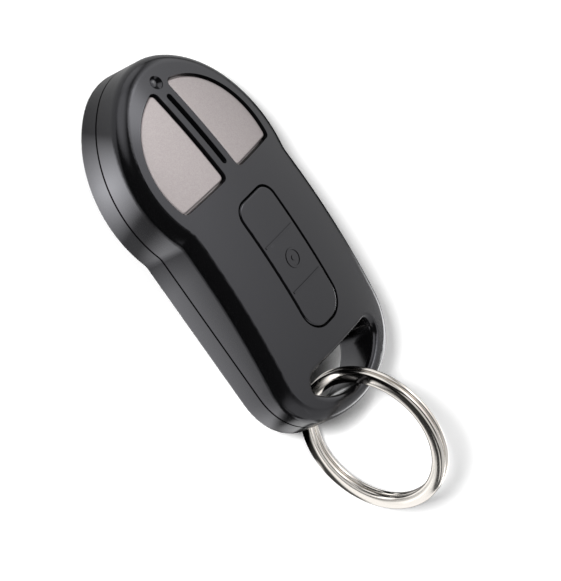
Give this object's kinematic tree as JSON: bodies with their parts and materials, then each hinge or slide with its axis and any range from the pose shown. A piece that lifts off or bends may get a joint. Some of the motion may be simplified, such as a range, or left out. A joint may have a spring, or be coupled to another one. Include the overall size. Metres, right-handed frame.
{
  "type": "key fob transmitter",
  "caption": "Hand-held radio key fob with a rounded head, silver quarter-round keys, a long centre key, a keyring hole and a split key ring.",
  "frame": {"origin": "centre of the flat back face of the housing", "axes": "+X to the right of the face, +Y towards the rounded head, +Z out of the face"},
  "size_m": [0.0356, 0.0904, 0.0281],
  "materials": {
    "black_plastic": "satin black moulded plastic",
    "black_key": "satin black moulded plastic",
    "silver_key": "warm silver paint on plastic",
    "smoked_lens": "smoked clear plastic",
    "screw_steel": "zinc-plated steel",
    "board": "green lacquered board",
    "light_body": "pale resin",
    "copper_track": "bare copper",
    "chip_body": "black resin",
    "bright_can": "bright metal can",
    "small_part_body": "tan fired body",
    "cell_steel": "nickel-plated steel",
    "gasket": "dark plastic",
    "contact_metal": "nickel-plated spring sheet",
    "switch_body": "black plastic",
    "switch_sheet": "bright spring sheet",
    "switch_stem": "black plastic",
    "ring_nickel": "polished nickel plate on spring steel"
  },
  "bodies": {
    "housing": {"rear_cover": "black_plastic", "front_cover": "black_plastic", "indicator_lens": "smoked_lens", "cover_screw_left": "screw_steel", "cover_screw_right": "screw_steel", "circuit_board": "board", "status_light": "light_body", "antenna_loop": "copper_track", "controller_chip": "chip_body", "crystal": "bright_can", "small_part_upper_left": "small_part_body", "small_part_upper_middle": "small_part_body", "small_part_upper_right": "small_part_body", "small_part_lower_left": "small_part_body", "small_part_lower_middle": "small_part_body", "small_part_lower_right": "small_part_body", "cell_can": "cell_steel", "cell_cap": "cell_steel", "cell_gasket": "gasket", "positive_clip": "contact_metal", "negative_contact": "contact_metal", "left_switch_base": "switch_body", "left_switch_frame": "switch_sheet", "left_switch_dome": "switch_sheet", "right_switch_base": "switch_body", "right_switch_frame": "switch_sheet", "right_switch_dome": "switch_sheet", "centre_switch_base": "switch_body", "centre_switch_frame": "switch_sheet", "centre_switch_dome": "switch_sheet"},
    "left_key_body": {"left_key": "silver_key", "left_switch_stem": "switch_stem"},
    "right_key_body": {"right_key": "silver_key", "right_switch_stem": "switch_stem"},
    "centre_key_body": {"centre_key": "black_key", "centre_switch_stem": "switch_stem"},
    "key_ring_body": {"key_ring": "ring_nickel"}
  },
  "joints": [
    {"name": "left_key_press", "type": "slide", "parent": "housing", "child": "left_key_body", "axis": [0, 0, -1], "range_m": [0, 0.0003], "stiffness_N_per_m": 4000, "springref_m": -0.0002, "deforming": ["left_switch_dome"]},
    {"name": "right_key_press", "type": "slide", "parent": "housing", "child": "right_key_body", "axis": [0, 0, -1], "range_m": [0, 0.0003], "stiffness_N_per_m": 4000, "springref_m": -0.0002, "deforming": ["right_switch_dome"]},
    {"name": "centre_key_press", "type": "slide", "parent": "housing", "child": "centre_key_body", "axis": [0, 0, -1], "range_m": [0, 0.0003], "stiffness_N_per_m": 4000, "springref_m": -0.0002, "deforming": ["centre_switch_dome"]},
    {"name": "key_ring_swing", "type": "hinge", "parent": "housing", "child": "key_ring_body", "pos_m": [0, -0.0365, 0.00375], "axis": [1, 0, 0], "range_deg": [-48, 4]}
  ]
}
